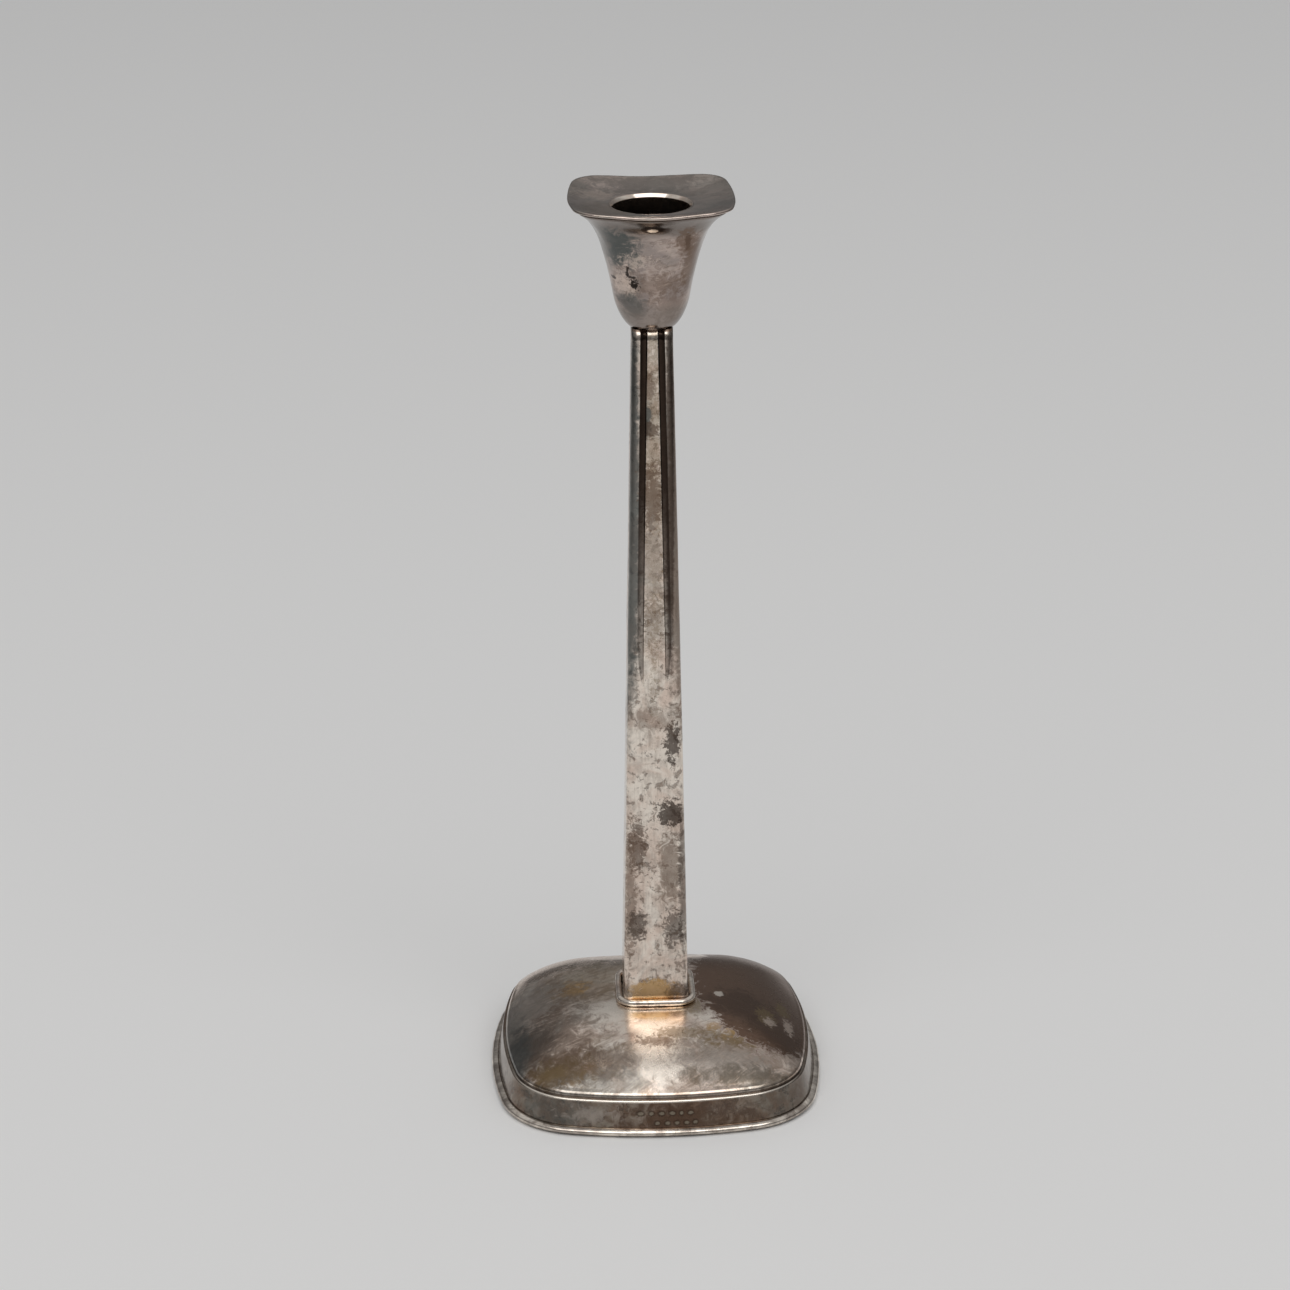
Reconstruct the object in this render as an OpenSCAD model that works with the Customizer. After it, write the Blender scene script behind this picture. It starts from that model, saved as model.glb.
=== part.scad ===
// Weighted sheet-silver candlestick: a square foot with bowed sides, a slim
// fluted stem, a bell-shaped cup and a loose nozzle with a wide drip pan.
// Origin at the centre of the underside, +Z up, sides facing X and Y.

/* [Foot] */
// Width of the foot across its flat-bowed sides
foot_w = 102.8; // [92:0.2:116]
// Radius of the bowed sides of the foot
foot_side_r = 138; // [115:1:220]
// Radius of the round corners of the foot
foot_corner_r = 25.8; // [20:0.2:32]
// Height of the ledge where the sloping band ends and the domed top begins
ledge_h = 11; // [10:0.5:16]
// Height of the flat middle of the domed top, where the stem stands
foot_h = 24.5; // [22:0.5:30]
// How much the sloping band leans inwards over its height
band_lean = 1.5; // [0.5:0.1:3]
// Fullness of the domed top: 1 is a straight slope, 2 is a round pillow
dome_fullness = 2.1; // [1.4:0.1:2.4]
// How far the border wire stands out from the sloping band
border_out = 2; // [1.2:0.1:2.6]
// Height of the border wire
border_h = 2.4; // [1.8:0.1:2.8]
// Thickness of the felt under the foot
felt_t = 1.4; // [1:0.1:2]
// Thickness of the plate that closes the foot
plate_t = 1.4; // [1:0.1:1.8]

/* [Stem] */
// Length of the stem from the foot's flat middle to the cup
stem_len = 216; // [150:1:280]
// Width of the stem at its foot
stem_w_bottom = 20.2; // [18.4:0.1:23]
// Width of the stem at its top
stem_w_top = 12; // [12:0.1:14]
// Corner radius of the stem, the same all the way up
stem_corner_r = 2.2; // [1.4:0.1:2.3]
// Width of the raised strip between the flutes at the top
strip_w_top = 2.9; // [2.4:0.1:3]
// Width of the raised strip where the flutes run out
strip_w_bottom = 6.7; // [5:0.1:7.4]
// Length of the flutes down from the stem's top
flute_len = 111; // [60:1:130]
// Width of a flute
flute_w = 2.2; // [1.6:0.1:2.3]
// Depth of a flute at its deepest
flute_depth = 0.65; // [0.3:0.05:0.8]
// Diameter of the collar wire round the stem's foot
collar_wire_d = 2.2; // [1.6:0.1:2.6]

/* [Cup and nozzle] */
// Height of the cup from the stem to the edge of the drip pan
cup_h = 38; // [36:0.5:44]
// Width of the drip pan across its bowed sides
pan_w = 48.4; // [46:0.2:54]
// How much the four corners of the drip pan turn up
corner_lift = 0.9; // [0:0.1:1.4]
// Diameter of the candle hole
bore_d = 22.6; // [22:0.1:23]
// Depth of the straight wall of the candle hole
bore_depth = 15.8; // [13:0.2:15.8]

/* [Material thickness] */
// Sheet of the foot
foot_sheet = 0.8; // [0.6:0.1:1]
// Sheet of the stem
stem_sheet = 0.6; // [0.5:0.1:0.8]
// Sheet of the cup, the drip pan and the candle tube
cup_sheet = 0.7; // [0.5:0.1:0.7]
// Diameter of the tie rod
rod_d = 4; // [3:0.5:4]

/* [Hidden] */

// steps round one quarter of a ring: along the bowed side, then round the corner
side_steps = 8;
corner_steps = 8;
round_fn = 72;
// gap left round the poured fillings and the plates
fill_gap = 0.12;

foot_half = foot_w / 2;
rest_gap = 0.3;                    // height of the silver's lower edge over the surface it stands on
seam_gap = 0.1;                    // between parts of the foot that are soldered together
ledge_round = 0.6;                 // rounded top edge of the sloping band
ledge_flat = 0.4;                  // flat ring between the band and the dome
riser_in = border_out + band_lean + ledge_round + ledge_flat;   // inset of the dome's upright edge
band_foot_z = rest_gap + border_h + seam_gap;      // where the band begins to lean
shoulder_r = 1.8;                  // rounded shoulder of the dome
shoulder_turn = 65;                // degrees the shoulder turns before the slope begins
riser_h = 0.4;                     // upright edge of the dome
shoulder_in = riser_in + shoulder_r * (1 - cos(shoulder_turn));
shoulder_z = ledge_h + riser_h + shoulder_r * sin(shoulder_turn);
ledge_t = 0.8;                     // thickness of the turned-in ledge
dome_steps = 9;
middle_side_share = 9;             // side radius of the flat middle as a share of its half width
middle_corner_share = 0.36;        // corner radius of the flat middle as a share of its half width

stem_half_bottom = stem_w_bottom / 2;
stem_half_top = stem_w_top / 2;
stem_top_z = foot_h + stem_len;
flute_end_z = stem_top_z - flute_len;
flute_taper = 15;                  // length over which a flute runs out to a point
top_round = 0.3;                   // rounded top edge of the stem
top_plate_t = 2;                   // plate that closes the stem at its top
collar_r = collar_wire_d / 2;
solder_gap = 0.15;                 // between the collar wire and the stem
collar_half = stem_half_bottom + solder_gap + collar_r;   // middle line of the collar wire
collar_corner = stem_corner_r + solder_gap + collar_r;
flat_margin = 0.3;                 // flat ring of the dome round the collar wire
flat_half = collar_half + collar_r + flat_margin;
nearly_straight = 40;              // side radius of the stem's lines as a share of their half width
dome_hole_half = 7;

pan_z = stem_top_z + cup_h;        // middle height of the drip pan's edge
pan_half = pan_w / 2;
pan_side_share = 3.5;              // side radius as a share of the half width
pan_corner_share = 0.39;           // corner radius as a share of the half width
pan_edge_r = 0.45;                 // rounded edge of the pan
pan_t = 0.85;
pan_dish = 1.6;                    // the flat middle lies this far below the edge
pan_flat_z = pan_z - pan_dish;
pan_flat_margin = 2.3;             // flat ring of the pan round the candle hole
pan_flat_half = bore_d / 2 + pan_flat_margin;
bore_r = bore_d / 2;
tube_t = cup_sheet - 0.1;          // wall of the candle tube
tube_r = bore_r + tube_t;
mouth_r = 0.7;                     // rounded edge where the pan turns down into the candle hole
tube_head_r = bore_r + mouth_r + 0.1;
tube_floor_t = 0.8;
bore_top_z = pan_flat_z - mouth_r;
bore_bottom_z = bore_top_z - bore_depth;
slip_gap = 0.06;                   // between the candle tube and the pan it is soldered into

rod_hole_r = rod_d / 2 + 0.3;
nut_w = rod_d * 1.75;
nut_h = rod_d * 0.8;
washer_t = 1;
washer_r = 6;
pocket_r = 7.5;                    // pocket in the filling round the lower nut
cut = 1;                           // how far a cutting shape runs past the face it cuts
plate_top_z = felt_t + plate_t;
rod_float = 0.5;                   // between the plate and the rod's lower end
rod_bottom_z = plate_top_z + rod_float;
rod_past_lower_nut = 0.4;
rod_past_upper_nut = 0.8;
nut_lower_z = rod_bottom_z + rod_past_lower_nut;
washer_lower_z = nut_lower_z + nut_h;
cup_floor_z = stem_top_z + cup_sheet;
cup_washer_r = 4.4;
nut_upper_z = cup_floor_z + washer_t;
rod_top_z = nut_upper_z + nut_h + rod_past_upper_nut;

silver = [0.60, 0.57, 0.54];
silver_dark = [0.44, 0.41, 0.38];
steel = [0.50, 0.51, 0.53];
cement = [0.36, 0.31, 0.27];
felt = [0.13, 0.22, 0.16];

// ---- curves ----

function mix(a, b, t) = a + (b - a) * t;

function clamp01(t) = min(1, max(0, t));

function turned(p, turn) = [p.x * cos(turn) - p.y * sin(turn), p.x * sin(turn) + p.y * cos(turn)];

// One quarter of a closed line made of a bowed side and a round corner, turned by turn degrees
function quarter(half, side_r, corner_r, turn) =
    let (
        bow = acos((side_r - half) / (sqrt(2) * (side_r - corner_r))) - 45,
        centre = (side_r - corner_r) * sin(bow),
        side = [for (i = [0:side_steps - 1])
            let (t = mix(-bow, bow, i / side_steps))
            [half - side_r + side_r * cos(t), side_r * sin(t)]],
        corner = [for (i = [0:corner_steps - 1])
            let (t = mix(bow, 90 - bow, i / corner_steps))
            [centre + corner_r * cos(t), centre + corner_r * sin(t)]]
    )
    [for (p = concat(side, corner)) turned(p, turn)];

// Square line with bowed sides and round corners, every stretch a true arc
function bowed_square(half, side_r, corner_r) =
    [for (q = [0:3]) each quarter(half, side_r, corner_r, q * 90)];

// Blend of a circle (squareness 0) and a bowed square (squareness 1) of one half width
function blend_square(half, side_share, corner_share, squareness) =
    [for (p = bowed_square(half, side_share * half, corner_share * half))
        p * mix(half / norm(p), 1, squareness)];

function at_height(points, z) = [for (p = points) [p.x, p.y, z]];

// Lifts a ring towards its four corners
function lift_corners(points, z, lift) =
    [for (p = points) [p.x, p.y, z + lift * pow(2 * p.x * p.y / (norm(p) * norm(p)), 2)]];

function bezier(p, t) =
    p[0] * pow(1 - t, 3) + p[1] * 3 * t * pow(1 - t, 2) + p[2] * 3 * t * t * (1 - t) + p[3] * pow(t, 3);

function bezier_slope(p, t) =
    (p[1] - p[0]) * 3 * pow(1 - t, 2) + (p[2] - p[1]) * 6 * t * (1 - t) + (p[3] - p[2]) * 3 * t * t;

// ---- meshes from rings of points ----

function ring_wall(low, high, n) =
    [for (i = [0:n - 1]) each
        let (j = (i + 1) % n)
        [[low * n + i, high * n + i, high * n + j], [low * n + i, high * n + j, low * n + j]]];

// Closed hoop: the rings run up the outside and down the inside
module hoop(rings) {
    n = len(rings[0]);
    count = len(rings);
    polyhedron(
        [for (r = rings) each r],
        [for (k = [0:count - 1]) each ring_wall(k, (k + 1) % count, n)]
    );
}

// Solid stack of rings from the bottom up, with flat ends
module stack(rings) {
    n = len(rings[0]);
    last = len(rings) - 1;
    polyhedron(
        [for (r = rings) each r],
        concat(
            [[for (i = [0:n - 1]) i]],
            [for (k = [0:last - 1]) each ring_wall(k, k + 1, n)],
            [[for (i = [n - 1:-1:0]) last * n + i]]
        )
    );
}

// ---- foot ----

function foot_line(inset) = bowed_square(foot_half - inset, foot_side_r - inset, foot_corner_r - inset);

function foot_ring(inset, z) = at_height(foot_line(inset), z);

// Ring on the domed top: the foot's own line at the shoulder, the collar's line at the middle
function dome_ring(half, z) =
    let (
        out = clamp01((half - flat_half) / (foot_half - shoulder_in - flat_half)),
        shoulder_half = foot_half - shoulder_in,
        side_share = mix(middle_side_share, (foot_side_r - shoulder_in) / shoulder_half, out),
        corner_share = mix(middle_corner_share, (foot_corner_r - shoulder_in) / shoulder_half, out)
    )
    at_height(bowed_square(half, side_share * half, corner_share * half), z);

// Slope of the domed top from ring number first, near the shoulder, to its flat middle, sunk by drop
function dome_slope(drop, first) =
    [for (k = [first:dome_steps])
        let (out = 1 - k / dome_steps)
        dome_ring(
            mix(flat_half, foot_half - shoulder_in, out),
            mix(foot_h, shoulder_z, pow(out, dome_fullness)) - drop
        )];

// Upright edge and rounded shoulder of the dome, moved inwards by sheet
function dome_shoulder(sheet, z) =
    concat(
        [foot_ring(riser_in + sheet, z)],
        [for (t = [0:shoulder_turn / 4:shoulder_turn - 1])
            foot_ring(
                riser_in + shoulder_r - (shoulder_r - sheet) * cos(t),
                ledge_h + riser_h + (shoulder_r - sheet) * sin(t)
            )]
    );

module base_felt() {
    color(felt)
        linear_extrude(felt_t)
            polygon(foot_line(border_out + foot_sheet + fill_gap));
}

module base_plate() {
    color(steel)
        translate([0, 0, felt_t])
            linear_extrude(plate_t)
                polygon(foot_line(border_out + foot_sheet + fill_gap));
}

module foot_filling() {
    wall = foot_sheet + fill_gap;
    throat = wall + 2 * seam_gap;
    step_run = 0.6;
    step_z = ledge_h - ledge_t - 0.4;    // the filling draws in just under the ledge
    color(cement)
        difference() {
            stack(concat(
                [
                    foot_ring(border_out + wall, plate_top_z),
                    foot_ring(border_out + wall, band_foot_z),
                    foot_ring(border_out + band_lean + wall, step_z - step_run),
                    foot_ring(riser_in + throat, step_z),
                    foot_ring(riser_in + throat, ledge_h + riser_h)
                ],
                dome_slope(wall + seam_gap, 1)
            ));
            cylinder(h = foot_h, r = rod_hole_r, $fn = round_fn);
            cylinder(h = washer_lower_z + washer_t, r = pocket_r, $fn = round_fn);
        }
}

module foot_border_wire() {
    color(silver_dark)
        hoop([for (t = [-90:22.5:90])
            foot_ring(border_out * (1 - cos(t)), rest_gap + border_h / 2 * (1 + sin(t)))]);
}

module foot_band() {
    top_in = border_out + band_lean;
    inner = riser_in + foot_sheet + seam_gap;
    color(silver)
        hoop(concat(
            [
                foot_ring(border_out, rest_gap),
                foot_ring(border_out, band_foot_z),
                foot_ring(top_in, ledge_h - ledge_round)
            ],
            [for (t = [30:30:90])
                foot_ring(top_in + ledge_round * (1 - cos(t)), ledge_h - ledge_round * (1 - sin(t)))],
            [
                foot_ring(inner, ledge_h),
                foot_ring(inner, ledge_h - ledge_t),
                foot_ring(top_in + foot_sheet, ledge_h - ledge_t),
                foot_ring(border_out + foot_sheet, band_foot_z),
                foot_ring(border_out + foot_sheet, rest_gap)
            ]
        ));
}

module foot_dome() {
    outside = concat(dome_shoulder(0, ledge_h), dome_slope(0, 0), [dome_ring(dome_hole_half, foot_h)]);
    inside = concat(
        dome_shoulder(foot_sheet, ledge_h),
        dome_slope(foot_sheet, 1),
        [dome_ring(dome_hole_half, foot_h - foot_sheet)]
    );
    color(silver)
        hoop(concat(outside, [for (k = [len(inside) - 1:-1:0]) inside[k]]));
}

// ---- stem ----

function stem_half(z) = mix(stem_half_bottom, stem_half_top, (z - foot_h) / stem_len);

// How far a flute has opened at height z: 0 below its point, 1 above its taper
function flute_open(z) = clamp01((z - flute_end_z) / flute_taper);

// One face of the stem and the corner after it; the flutes are coves beside a raised strip
function stem_face(z, inset, turn) =
    let (
        half = stem_half(z) - inset,
        corner_r = stem_corner_r - inset,
        strip = mix(strip_w_bottom, strip_w_top, clamp01((z - flute_end_z) / flute_len)) / 2,
        width = max(0.5, flute_w * sqrt(flute_open(z))),
        depth = flute_depth * min(1, 2 * flute_open(z)),
        right = [for (s = [[1, 0], [0.75, 0.36], [0.45, 0.78], [0.2, 1], [0.08, 1]])
            [half - depth * s[1], -strip - width * s[0]]],
        left = [for (k = [len(right) - 1:-1:0]) [right[k].x, -right[k].y]],
        corner = [for (t = [0:15:90])
            [half + corner_r * (cos(t) - 1), half + corner_r * (sin(t) - 1)]]
    )
    [for (p = concat(right, [[half, -strip], [half, strip]], left, corner)) [each turned(p, turn), z]];

function stem_ring(z, inset) = [for (q = [0:3]) each stem_face(z, inset, q * 90)];

stem_levels = concat(
    [foot_h, mix(foot_h, flute_end_z, 0.5), flute_end_z],
    [for (share = [0.12, 0.3, 0.55, 0.8, 1]) flute_end_z + share * flute_taper],
    [for (share = [0.25, 0.5, 0.75, 1])
        mix(flute_end_z + flute_taper, stem_top_z - top_round, share)]
);

module stem_tube() {
    outside = concat(
        [for (z = stem_levels) stem_ring(z, 0)],
        [
            stem_ring(stem_top_z - top_round * (1 - sin(45)), top_round * (1 - cos(45))),
            stem_ring(stem_top_z, top_round)
        ]
    );
    inside = concat(
        [for (z = stem_levels) stem_ring(z, stem_sheet)],
        [stem_ring(stem_top_z, stem_sheet)]
    );
    color(silver)
        hoop(concat(outside, [for (k = [len(inside) - 1:-1:0]) inside[k]]));
}

// Rounded square that fits inside the stem at height z, clear of the flutes
function stem_core(z, gap) =
    let (half = stem_half(z) - stem_sheet - gap)
    bowed_square(half, nearly_straight * half, stem_corner_r - stem_sheet);

module stem_filling() {
    top_z = stem_top_z - top_plate_t - fill_gap;
    step_z = flute_end_z + flute_taper / 3;
    color(cement)
        difference() {
            stack([
                at_height(stem_core(foot_h, fill_gap), foot_h),
                at_height(stem_core(flute_end_z, fill_gap), flute_end_z),
                at_height(stem_core(step_z, fill_gap + flute_depth), step_z),
                at_height(stem_core(top_z, fill_gap + flute_depth), top_z)
            ]);
            translate([0, 0, foot_h - cut])
                cylinder(h = stem_len, r = rod_hole_r, $fn = round_fn);
        }
}

module stem_top_plate() {
    color(steel)
        translate([0, 0, stem_top_z - top_plate_t])
            difference() {
                linear_extrude(top_plate_t)
                    polygon(stem_core(stem_top_z, fill_gap + flute_depth));
                translate([0, 0, -cut])
                    cylinder(h = top_plate_t + 2 * cut, r = rod_hole_r, $fn = round_fn);
            }
}

module stem_collar() {
    color(silver)
        hoop([for (t = [180:-30:-150])
            let (out = collar_r * cos(t))
            at_height(
                bowed_square(
                    collar_half + out, nearly_straight * collar_half + out, collar_corner + out
                ),
                foot_h + collar_r * (1 - sin(t))
            )]);
}

// ---- tie rod ----

module hex_nut(z) {
    translate([0, 0, z])
        difference() {
            cylinder(h = nut_h, d = nut_w / cos(30), $fn = 6);
            translate([0, 0, -cut])
                cylinder(h = nut_h + 2 * cut, d = rod_d, $fn = round_fn);
        }
}

module washer(z, r) {
    translate([0, 0, z])
        difference() {
            cylinder(h = washer_t, r = r, $fn = round_fn);
            translate([0, 0, -cut])
                cylinder(h = washer_t + 2 * cut, r = rod_hole_r, $fn = round_fn);
        }
}

module tie_rod() {
    color(steel)
        translate([0, 0, rod_bottom_z])
            cylinder(h = rod_top_z - rod_bottom_z, d = rod_d, $fn = round_fn);
}

module rod_washer_lower() {
    color(steel) washer(washer_lower_z, washer_r);
}

module rod_nut_lower() {
    color(steel) hex_nut(nut_lower_z);
}

module cup_washer() {
    color(steel) washer(cup_floor_z, cup_washer_r);
}

module rod_nut_upper() {
    color(steel) hex_nut(nut_upper_z);
}

// ---- cup ----

pan_over_rim = 2.2;                // how far the drip pan reaches out past the cup
rim_under_pan = 1.75;              // how far the cup's outer rim lies below the pan's edge
rim_lift_share = 0.9;              // corner lift of the rim as a share of the pan's
cup_rim_z = cup_h - rim_under_pan;
cup_rim_half = pan_half - pan_over_rim;
cup_bowl = [[5.2, 0], [7.4, 0.7], [9.9, 4.2], [11.05, 8.7]];
cup_flare = [[11.05, 8.7], [14.2, cup_rim_z - 10.2], [16.8, cup_rim_z - 3.85], [cup_rim_half, cup_rim_z]];

// Point on the cup's outline, moved inwards by sheet
function cup_point(curve, t, sheet) =
    let (slope = bezier_slope(curve, t))
    bezier(curve, t) + [-slope.y, slope.x] * sheet / norm(slope);

// Ring of the cup: round at the bottom, a bowed square with raised corners at the mouth
function cup_ring(p) =
    let (up = clamp01(p.y / cup_rim_z))
    lift_corners(
        blend_square(p.x, pan_side_share, pan_corner_share, pow(up, 3)),
        stem_top_z + p.y,
        corner_lift * rim_lift_share * pow(up, 8)
    );

function cup_wall(sheet) =
    concat(
        [for (k = [0:4]) cup_ring(cup_point(cup_bowl, k / 5, sheet))],
        [for (k = [0:11]) cup_ring(cup_point(cup_flare, k / 11, sheet))]
    );

module cup_bell() {
    outside = concat([cup_ring([rod_hole_r, 0])], cup_wall(0));
    inside = concat([cup_ring([rod_hole_r, cup_sheet])], cup_wall(cup_sheet));
    color(silver)
        hoop(concat(outside, [for (k = [len(inside) - 1:-1:0]) inside[k]]));
}

// ---- nozzle ----

function pan_share(half) = clamp01((half - pan_flat_half) / (pan_half - pan_edge_r - pan_flat_half));

function pan_ring(half, z) =
    lift_corners(
        blend_square(half, pan_side_share, pan_corner_share, pan_share(half)),
        z,
        corner_lift * pow(pan_share(half), 2)
    );

function pan_surface(half) = mix(pan_flat_z, pan_z + pan_edge_r, pow(pan_share(half), 1.5));

module drip_pan() {
    edge_half = pan_half - pan_edge_r;
    hole_half = tube_head_r + slip_gap;
    steps = 7;
    widths = concat([hole_half], [for (k = [0:steps]) mix(pan_flat_half, edge_half, k / steps)]);
    color(silver)
        hoop(concat(
            [for (half = widths) pan_ring(half, pan_surface(half) - pan_t)],
            [for (t = [-60:30:60])
                pan_ring(edge_half + pan_edge_r * cos(t), pan_z + pan_edge_r * sin(t))],
            [for (k = [len(widths) - 1:-1:0]) pan_ring(widths[k], pan_surface(widths[k]))]
        ));
}

module candle_tube() {
    head_z = pan_flat_z - pan_t;
    color(silver)
        rotate_extrude($fn = round_fn)
            polygon(concat(
                [[bore_r, bore_bottom_z]],
                [for (t = [180:-15:90])
                    [bore_r + mouth_r + mouth_r * cos(t), bore_top_z + mouth_r * sin(t)]],
                [
                    [tube_head_r, pan_flat_z],
                    [tube_head_r, head_z],
                    [tube_r, head_z - (tube_head_r - tube_r)],
                    [tube_r, bore_bottom_z]
                ]
            ));
}

module candle_tube_floor() {
    color(silver_dark)
        translate([0, 0, bore_bottom_z - tube_floor_t])
            cylinder(h = tube_floor_t, r = tube_r, $fn = round_fn);
}

base_felt();
base_plate();
foot_filling();
foot_border_wire();
foot_band();
foot_dome();
stem_collar();
stem_tube();
stem_filling();
stem_top_plate();
tie_rod();
rod_washer_lower();
rod_nut_lower();
cup_bell();
cup_washer();
rod_nut_upper();
drip_pan();
candle_tube();
candle_tube_floor();
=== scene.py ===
"""A tarnished sheet-silver candlestick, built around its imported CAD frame.

Lengths in the shape functions are in millimetres, in the frame of the CAD part: +Z up, the
sides of the foot facing X and Y, and the origin under the middle of the foot.
"""

import math

import bpy
import numpy as np
from mathutils import Matrix, Vector


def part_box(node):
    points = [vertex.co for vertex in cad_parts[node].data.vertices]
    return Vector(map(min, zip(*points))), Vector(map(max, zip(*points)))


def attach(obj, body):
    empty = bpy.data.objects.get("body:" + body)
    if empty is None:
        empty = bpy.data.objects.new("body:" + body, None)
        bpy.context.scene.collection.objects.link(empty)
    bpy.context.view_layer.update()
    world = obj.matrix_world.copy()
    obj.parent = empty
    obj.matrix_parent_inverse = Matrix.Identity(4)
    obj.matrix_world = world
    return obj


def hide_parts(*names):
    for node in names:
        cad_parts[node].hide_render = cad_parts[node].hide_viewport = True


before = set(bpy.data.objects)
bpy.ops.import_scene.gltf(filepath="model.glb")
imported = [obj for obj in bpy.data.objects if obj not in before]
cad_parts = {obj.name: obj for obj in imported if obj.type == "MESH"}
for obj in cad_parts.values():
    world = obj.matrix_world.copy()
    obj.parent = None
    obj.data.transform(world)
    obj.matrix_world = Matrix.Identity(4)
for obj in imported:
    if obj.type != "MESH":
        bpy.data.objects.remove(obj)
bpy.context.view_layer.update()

MM = 0.001


def low(node):
    """Lowest corner of a CAD node's box, in millimetres."""
    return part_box(node)[0] / MM


def high(node):
    """Highest corner of a CAD node's box, in millimetres."""
    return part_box(node)[1] / MM


# ---- sizes: what the boxes give, then the few dimensions that they don't ----

FOOT_HALF = high("foot_border_wire").x
WIRE_Z = low("foot_border_wire").z
WIRE_H = high("foot_border_wire").z - WIRE_Z
BORDER_OUT = FOOT_HALF - high("foot_band").x
LEDGE_Z = high("foot_band").z
RISER_IN = FOOT_HALF - high("foot_dome").x
FOOT_H = high("foot_dome").z
COLLAR_OUT = high("stem_collar").x
COLLAR_R = (high("stem_collar").z - low("stem_collar").z) / 2
STEM_TOP = high("stem_tube").z
STEM_HALF_BOTTOM = high("stem_tube").x
CUP_RIM_HALF = high("cup_bell").x
PAN_HALF = high("drip_pan").x
PAN_T = 0.85                 # the drip pan's sheet
PAN_FLAT_Z = low("drip_pan").z + PAN_T
BORE_FLOOR_Z = high("candle_tube_floor").z
MOUTH_Z = high("candle_tube").z
TUBE_HEAD_R = high("candle_tube").x
TUBE_FOOT_R = high("candle_tube_floor").x

FOOT_SIDE_R = 138.0          # the foot's line: radius of its bowed sides, and of its corners
FOOT_CORNER_R = 25.8
BAND_LEAN = 1.5              # how far the sloping band leans in on its way up
LEDGE_ROUND = 0.6
FOOT_SHEET = 0.8
SHEET_SPARE = 0.1            # how far one sheet of the foot reaches past the next
RISER_H = 0.4
SHOULDER_R = 1.8
SHOULDER_TURN = 65           # degrees
SHOULDER_IN = RISER_IN + SHOULDER_R * (1 - math.cos(math.radians(SHOULDER_TURN)))
SHOULDER_Z = LEDGE_Z + RISER_H + SHOULDER_R * math.sin(math.radians(SHOULDER_TURN))
DOME_FULLNESS = 2.1          # power of the dome's fall towards its shoulder
DOME_FLAT_HALF = COLLAR_OUT + 0.3    # flat out to just past the collar
DOME_HOLE_HALF = 7.0
MIDDLE_SIDE_SHARE = 9        # the dome's line at its middle: its radii over its half width
MIDDLE_CORNER_SHARE = 0.36

STEM_HALF_TOP = 6.0
STEM_CORNER_R = 2.2
STEM_SHEET = 0.6
SEATED = 0.45                # how far the stem's edge reaches up into the bell's bottom
STRIP_TOP = 1.45             # half widths of the raised strip, at the top and where it starts
STRIP_BOTTOM = 3.35
FLUTE_LEN = 111.0
FLUTE_END = STEM_TOP - FLUTE_LEN
FLUTE_TAPER = 15.0           # length over which a flute opens to its full width
FLUTE_W = 2.2
FLUTE_LEAST_W = 0.5
FLUTE_DEPTH = 0.65
FLUTE_DEEPEST = 0.15         # where a flute is deepest, as a share of its width from the strip
COLLAR_SIDE_SHARE = 40       # the collar's sides are nearly straight
COLLAR_CORNER_SPARE = 1.2    # how much rounder its corners are than the stem's

CUP_SHEET = 0.7
CUP_HOLE_R = 2.3
CUP_RIM = 36.25              # height of the bell over its bottom
# control points of the bell's lower and upper curve: half width, height over its bottom. The upper
# curve's first three are rounded from a fit to the bell's outline in the photo.
CUP_BOWL = [(5.9, 0), (7.7, 0.5), (9.9, 4.2), (11.05, 8.7)]
CUP_FLARE = [(11.05, 8.7), (14.2, CUP_RIM - 10.2), (16.8, CUP_RIM - 3.85),
             (CUP_RIM_HALF, CUP_RIM)]
CUP_SQUARING = 3             # powers of the height: how late the bell's line turns square,
RIM_RISE = 8                 # and how late its corners rise
RIM_LIFT = 0.81
RIM_ROUND = 0.25
RIM_OUT = 0.5

CORNER_LIFT = 0.9
PAN_EDGE_R = 0.45
PAN_DISH = 1.6
PAN_DISH_CURVE = 1.5
PAN_FLAT_HALF = 13.6
PAN_SIDE_SHARE = 3.5         # the pan's line: its radii over its half width
PAN_CORNER_SHARE = 0.39
TUBE_GAP = 0.05              # between the tube's head and the hole in the pan
TUBE_WALL = 0.6
BORE_R = TUBE_FOOT_R - TUBE_WALL
MOUTH_R = 0.7
MOUTH_DEPTH = 1.0
MOUTH_FLANK = 35             # degrees
MOUTH_SOFT = 0.12            # radius of the soft bends above and below the flank
HEAD_UNDER = 0.02            # how far the tube head's outer edge stays under the mouth


# ---- plan lines ----

def four_times(quarter):
    """The quarter line and its copies turned by 90, 180 and 270 degrees."""
    turns = [np.array([[c, s], [-s, c]]) for c, s in ((1, 0), (0, 1), (-1, 0), (0, -1))]
    return np.vstack([quarter @ turn for turn in turns])


def bowed_square(half, side_r, corner_r):
    """A square line with bowed sides and round corners, every stretch a true arc."""
    steps = 20
    bow = math.acos((side_r - half) / (math.sqrt(2) * (side_r - corner_r))) - math.pi / 4
    t = np.linspace(-bow, bow, steps, endpoint=False)
    side = np.c_[half - side_r + side_r * np.cos(t), side_r * np.sin(t)]
    t = np.linspace(bow, math.pi / 2 - bow, steps, endpoint=False)
    centre = (side_r - corner_r) * math.sin(bow)
    corner = centre + corner_r * np.c_[np.cos(t), np.sin(t)]
    return four_times(np.vstack([side, corner]))


def ring(points, z):
    """The plan line at height z."""
    return np.c_[points, np.full(len(points), z)]


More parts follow.
